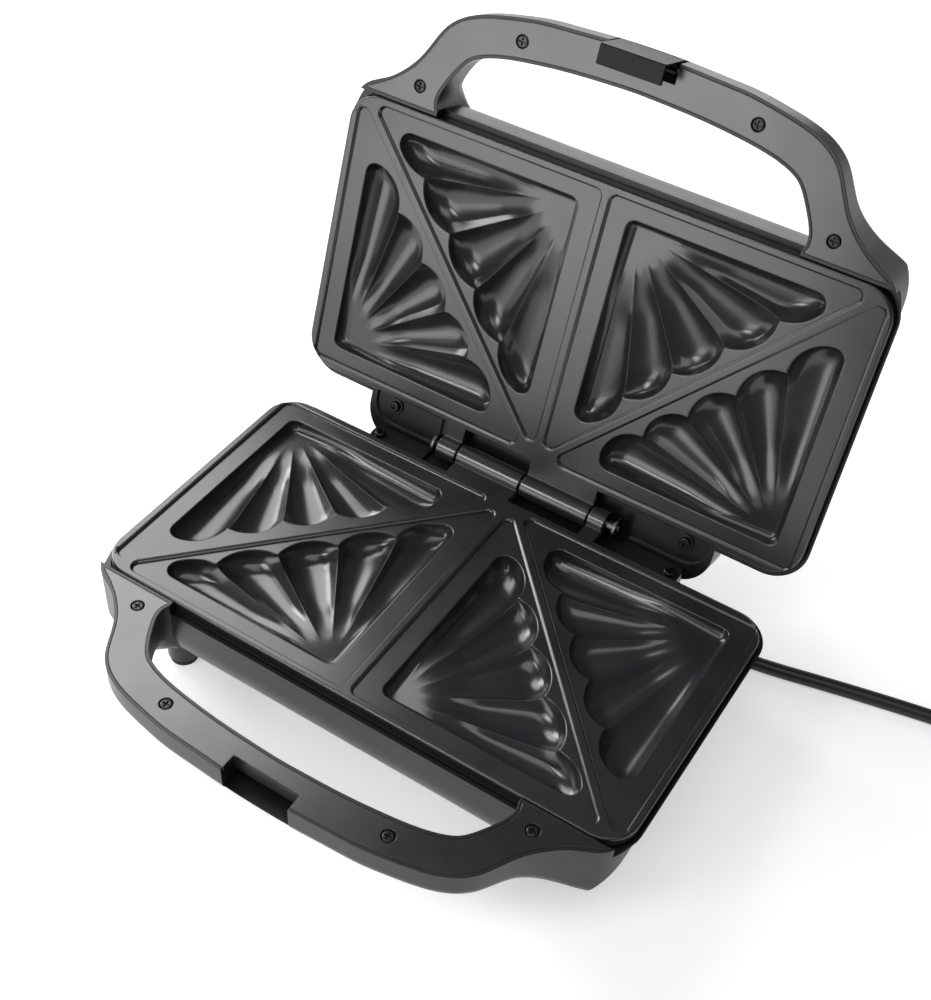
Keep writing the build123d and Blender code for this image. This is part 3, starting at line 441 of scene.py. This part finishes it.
    def flute(self, index, point, gap, floor, leg_gaps):
        """How deep one flute is at a point: full along its axis, up to the ridges beside it."""
        offset = point - self.apex
        axis = self.ends[index] - self.apex
        share = offset.dot(axis) / axis.length_squared
        from_middle = point - self.centres[index]
        aside = cross(from_middle, axis) / axis.length
        if share <= 0 or abs(aside) >= self.radius:
            return 0
        across = cross(offset, axis) / axis.length
        length = offset.dot(axis) / axis.length
        full = 1.0
        for cusp in self.cusps[max(index - 1, 0):index + 1]:
            edge = cusp - self.apex
            edge_across = cross(edge, axis) / axis.length
            if edge_across * across > 0:
                half = abs(edge_across) / (edge.dot(axis) / axis.length) * length
                share_out = abs(across) / half
                bowl = math.sqrt(max(1 - (ridge_fullness * share_out) ** 2, 0))
                full = bowl if share_out < past_ridge else 0
        flank = 1.0
        if index in (0, len(self.ends) - 1):
            leg = leg_gaps[0] if index == 0 else leg_gaps[1]
            flank = wall_share(leg, apex_inset + (end_leg_gap - apex_inset) * min(share, 1))
        bow = math.sqrt(self.radius ** 2 - aside ** 2)
        lobe = (bow - from_middle.dot(axis) / axis.length) * bow / self.radius
        wall = min(wall_share(lobe, end_wall), wall_share(gap, end_wall), flank)
        trough = (corner_depth + (well_depth - corner_depth) * min(share, 1) - floor) * full
        return (floor + trough * softened(share, *flute_starts)) * wall


def cross(first, second):
    """How far, times the second one's length, a direction lies beside another."""
    return first.x * second.y - first.y * second.x


def softened(value, start, end):
    """How far a value is on its way from start to end, with a soft departure and arrival."""
    share = min(max((value - start) / (end - start), 0), 1)
    return share * share * (3 - 2 * share)


def wall_share(gap, width):
    """The share of its depth that a rounded wall has at a gap from its top edge."""
    return math.sqrt(max(1 - (1 - min(max(gap, 0) / width, 1)) ** wall_curve, 0))


wells = (
    Well(side=112.8, end=22.8, offsets=(11.4, 10.2), shares=(0.222, 0.41, 0.594, 0.772)),
    Well(side=11.3, end=130.8, offsets=(-9.1, -9.1), shares=(0.221, 0.421, 0.624, 0.828)),
)
fields = (
    (plate_side, plate_rear, ridge_half_width),
    (ridge_half_width, plate_front, -ridge_half_width),
)


def rounded_corners(corners, radius):
    """A closed polygon whose corners are rounded."""
    points = []
    for index, corner in enumerate(corners):
        to_last = (corners[index - 1] - corner).normalized()
        to_next = (corners[(index + 1) % len(corners)] - corner).normalized()
        half = to_last.angle(to_next) / 2
        centre = corner + (to_last + to_next).normalized() * radius / math.sin(half)
        low = corner + to_last * radius / math.tan(half) - centre
        high = corner + to_next * radius / math.tan(half) - centre
        points += [point for point, _ in arc_points(centre, radius, low, high, corner_steps)]
    return points


def field_outline(side, end, offset):
    """The edge of a field's floor, a little under the slope that surrounds it."""
    inward_x = -1 if offset > 0 else 1
    inward_y = 1 if offset > 0 else -1
    inset = offset + math.copysign(field_inset, offset)
    x, y = side + inward_x * field_inset, end + inward_y * field_inset
    corners = [Vector((x, y)), beside_ridge(inset, x=x), beside_ridge(inset, y=y)]
    return rounded_corners(corners, field_rounding)


def on_plate(x, place, depth, on_lid):
    """A point given from the hinge along the plate, in the frame of the open object."""
    if not on_lid:
        return from_hinge(x, -place, -depth)
    cosine, sine = math.cos(open_angle), math.sin(open_angle)
    return from_hinge(x, -place * cosine + depth * sine, place * sine + depth * cosine)


def from_plate(point, on_lid):
    """Where a point of the open object is on its plate: x, place and depth in millimetres."""
    x, y, z = point.x * 1000, (point.y - hinge_y) * 1000, (point.z - hinge_z) * 1000
    if not on_lid:
        return Vector((x, -y, -z))
    cosine, sine = math.cos(open_angle), math.sin(open_angle)
    return Vector((x, -(y * cosine - z * sine), y * sine + z * cosine))


def mould_field(mesh, well, field, mirrored, on_lid):
    """Adds one field's floor and its well to the plate's mesh."""

    def vertex(point, depth):
        x = -point.x if mirrored else point.x
        return mesh.verts.new(on_plate(x, point.y, shelf + depth, on_lid))

    def face(corners):
        a, b, c = (from_plate(corner.co, on_lid) for corner in corners[:3])
        raised = (b - a).cross(c - a).z
        facing = raised < 0 if on_lid else raised > 0
        made = mesh.faces.new(corners if facing else corners[::-1])
        made.smooth = True

    rows = []
    for gap, depth in rim_rows:
        rows.append([vertex(point - normal * gap, depth) for point, normal in well.outline])
    for gap in wall_rows:
        inner = [point - normal * gap for point, normal in well.outline]
        rows.append([vertex(point, max(well.depth(point, gap), least_wall_depth)) for point in inner])
    for step in range(1, fan_rows):
        share = step / fan_rows
        row = []
        for point in inner:
            place = point.lerp(well.apex, share)
            gap = wall_rows[-1] + (place - point).length
            row.append(vertex(place, well.depth(place, gap)))
        rows.append(row)
    for row, following in zip(rows, rows[1:]):
        for index in range(len(row)):
            after = (index + 1) % len(row)
            face([row[index], row[after], following[after], following[index]])
    for row, following in zip(rows[len(rim_rows):], rows[len(rim_rows) + 1:]):
        for column in well.ridge_columns:
            mesh.edges.get((row[column], following[column])).smooth = False
    pole = vertex(well.apex, well.depth(well.apex, apex_inset))
    for index in range(len(rows[-1])):
        face([rows[-1][index], rows[-1][(index + 1) % len(rows[-1])], pole])
    edge = field_outline(*field)
    brim = [point - normal * rim_rows[0][0] for point, normal in well.outline]
    corners = [vertex(point, 0) for point in edge] + rows[0]
    loops = [[point.to_3d() for point in edge], [point.to_3d() for point in brim]]
    for triangle in tessellate_polygon(loops):
        face([corners[index] for index in triangle])


def even_shading(piece, on_lid):
    """Smooth shading whose flats stay flat: their normals win over those of the roundings."""
    bpy.ops.object.select_all(action="DESELECT")
    piece.select_set(True)
    bpy.context.view_layer.objects.active = piece
    bpy.ops.object.shade_smooth_by_angle(angle=sharp_angle)
    data = piece.data
    for face in data.polygons:
        places = [from_plate(data.vertices[index].co, on_lid) for index in face.vertices[:3]]
        slant = (places[1] - places[0]).cross(places[2] - places[0]).normalized()
        face.select = abs(slant.z) > flat_slant
    scene.tool_settings.mesh_select_mode = (False, False, True)
    bpy.ops.object.mode_set(mode="EDIT")
    bpy.ops.mesh.mod_weighted_strength(set=True, face_strength="STRONG")
    bpy.ops.object.mode_set(mode="OBJECT")
    normals = piece.modifiers.new("even_normals", "WEIGHTED_NORMAL")
    normals.keep_sharp = True
    normals.use_face_influence = True
    bpy.ops.object.modifier_apply(modifier=normals.name)


def cooking_plate(name, node, on_lid):
    """A copy of the solid plate in which the wells are moulded anew."""
    mesh = bmesh.new()
    mesh.from_mesh(frame["nodes"][node].data)
    bmesh.ops.remove_doubles(mesh, verts=mesh.verts, dist=merge_distance)
    old = []
    for face in mesh.faces:
        places = [from_plate(vertex.co, on_lid) for vertex in face.verts]
        raised = (places[1] - places[0]).cross(places[2] - places[0])
        raised = raised.z if on_lid else -raised.z
        inside = all(plate_rear < place.y < plate_front for place in places)
        deep = all(place.z > shelf - field_tolerance for place in places)
        if inside and deep and raised > field_tolerance * face.calc_area() * square_millimetres:
            old.append(face)
    bmesh.ops.delete(mesh, geom=old, context="FACES")
    for face in mesh.faces:
        face.smooth = True
    for well, field in zip(wells, fields):
        for mirrored in (False, True):
            mould_field(mesh, well, field, mirrored, on_lid)
    data = bpy.data.meshes.new(name)
    mesh.to_mesh(data)
    mesh.free()
    data.materials.append(plate_coating)
    piece = bpy.data.objects.new(name, data)
    scene.collection.objects.link(piece)
    even_shading(piece, on_lid)
    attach(piece, "lid" if on_lid else "base")
    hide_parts(node)


cooking_plate("lower_cooking_plate", "base_plate", False)
cooking_plate("upper_cooking_plate", "lid_plate", True)

# Cord: the same route as the solid, from the sleeve to the coil, the coil, and the last stretch.
# Sizes are in millimetres, and the coil's own points are counted from where it starts.

cord_radius = 3.25
cord_route = (
    (-58.0, 8.0, -33.0),
    (-58.0, 41.0, -33.0), (-38.0, 60.0, -38.5), (-7.0, 61.0, -44.5), (27.0, 45.0, -48.75),
    (59.0, 19.0, -48.75), (90.0, 3.6, -48.75), (121.0, 7.4, -48.75), (157.0, 16.4, -48.75),
    (200.0, 25.5, -48.75), (250.0, 34.0, -48.75),
)
coil_start = Vector((262.0, 36.6, -48.75))
coil_radius = 44.0
coil_pitch = 7.1
coil_rise = 7.0
coil_lead = 2 * cord_radius
coil_half_turns = 6
half_turn_steps = 8
tail_bend = 20.0
tail_length = 44.0


def coil_route():
    """Points of the half turns that spiral in, climb and spiral out on top."""
    points = []
    x, y, z = coil_lead, 0.0, 0.0
    radius = coil_radius
    side = 1
    for turn_index in range(coil_half_turns):
        climbing = turn_index == coil_half_turns // 2
        for step in range(1, half_turn_steps + 1):
            angle = math.pi * step / half_turn_steps
            points.append((
                x + side * radius * math.sin(angle),
                y + side * radius * (1 - math.cos(angle)),
                z + (coil_rise * step / half_turn_steps if climbing else 0),
            ))
        y += 2 * radius * side
        z += coil_rise if climbing else 0
        side = -side
        radius += coil_pitch / 2 * (-1 if turn_index < coil_half_turns // 2 else 1)
    return points


def spline_cord(name, points, radius, material):
    """A round tube along one smooth spline with the given control points."""
    curve = bpy.data.curves.new(name, "CURVE")
    curve.dimensions = "3D"
    curve.bevel_depth = radius
    curve.bevel_resolution = 6
    curve.resolution_u = 12
    curve.use_fill_caps = True
    spline = curve.splines.new("NURBS")
    spline.points.add(len(points) - 1)
    for knot, point in zip(spline.points, points):
        knot.co = (*point, 1)
    spline.order_u = 3
    spline.use_endpoint_u = True
    spline.use_smooth = True
    curve.materials.append(material)
    piece = bpy.data.objects.new(name, curve)
    scene.collection.objects.link(piece)
    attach(piece, "base")
    return piece


heading = (coil_start - Vector(cord_route[-1])).normalized()
aside = Vector((-heading.y, heading.x, 0))
route = [from_hinge(*point) for point in cord_route]
coil_points = [Vector((0, 0, 0)), Vector((coil_lead, 0, 0))] + [Vector(p) for p in coil_route()]
last = coil_points[-1]
coil_points += [last + Vector((tail_bend, 0, 0)), last + Vector((coil_lead + tail_length, 0, 0))]
turned = [coil_start + heading * p.x + aside * p.y + Vector((0, 0, p.z)) for p in coil_points]
route += [from_hinge(*point) for point in turned]
cord = spline_cord("supply_cord", route, cord_radius / 1000, cord_sheath)
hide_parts("cord", "cord_coil", "cord_tail")

# Floor, world and lamps. Distances and sizes are in metres. The floor glows only for the camera
# and in what shows it, so that it looks white without more light on the object.

floor_side = 6
floor_glow = 0.5
world_strength = 0.15
lamp_target = Vector((0, 0, 0.06))
bpy.ops.object.select_all(action="DESELECT")
bpy.ops.mesh.primitive_plane_add(size=floor_side, location=(0, 0, 0))
floor = bpy.context.object
floor.name = "floor"
paper, paper_shader, _ = new_material("white_paper")
nodes = paper.node_tree.nodes
links = paper.node_tree.links
paper_shader.inputs["Base Color"].default_value = grey(0.8)
paper_shader.inputs["Roughness"].default_value = 0.9
rays = nodes.new("ShaderNodeLightPath").outputs
seen = rays["Is Camera Ray"]
for ray in ("Is Glossy Ray", "Is Transmission Ray"):
    either = nodes.new("ShaderNodeMath")
    either.operation = "MAXIMUM"
    links.new(seen, either.inputs[0])
    links.new(rays[ray], either.inputs[1])
    seen = either.outputs[0]
strength = nodes.new("ShaderNodeMath")
strength.operation = "MULTIPLY"
strength.inputs[1].default_value = floor_glow
links.new(seen, strength.inputs[0])
paper_shader.inputs["Emission Color"].default_value = grey(1)
links.new(strength.outputs[0], paper_shader.inputs["Emission Strength"])
floor.data.materials.append(paper)

world = bpy.data.worlds.new("studio")
world.use_nodes = True
scene.world = world
world.node_tree.nodes["Background"].inputs["Color"].default_value = grey(1)
world.node_tree.nodes["Background"].inputs["Strength"].default_value = world_strength


def softbox(name, bearing, elevation, distance, size, brightness):
    """A rectangular lamp that faces the object; its brightness is that of its own face."""
    aim = direction(math.radians(bearing), math.radians(elevation))
    lamp = bpy.data.lights.new(name, "AREA")
    lamp.shape = "RECTANGLE"
    lamp.size, lamp.size_y = size
    lamp.energy = brightness * math.pi * size[0] * size[1]
    holder = bpy.data.objects.new(name, lamp)
    holder.location = aim * distance + lamp_target
    holder.rotation_euler = aim.to_track_quat("Z", "Y").to_euler()
    scene.collection.objects.link(holder)


softbox("back_left_window", bearing=-116, elevation=40, distance=1.2, size=(0.62, 0.8), brightness=5)
softbox("back_window", bearing=-160, elevation=11, distance=1.5, size=(0.9, 0.4), brightness=2.4)
softbox("left_window", bearing=-96, elevation=22, distance=1.2, size=(0.36, 0.7), brightness=8)
softbox("front_left_window", bearing=-24, elevation=9, distance=1.6, size=(0.86, 0.75), brightness=3.4)
softbox("front_left_lamp", bearing=-28, elevation=40, distance=1.3, size=(0.45, 0.32), brightness=9)
softbox("ceiling", bearing=20, elevation=68, distance=1.55, size=(1.1, 0.9), brightness=1.8)
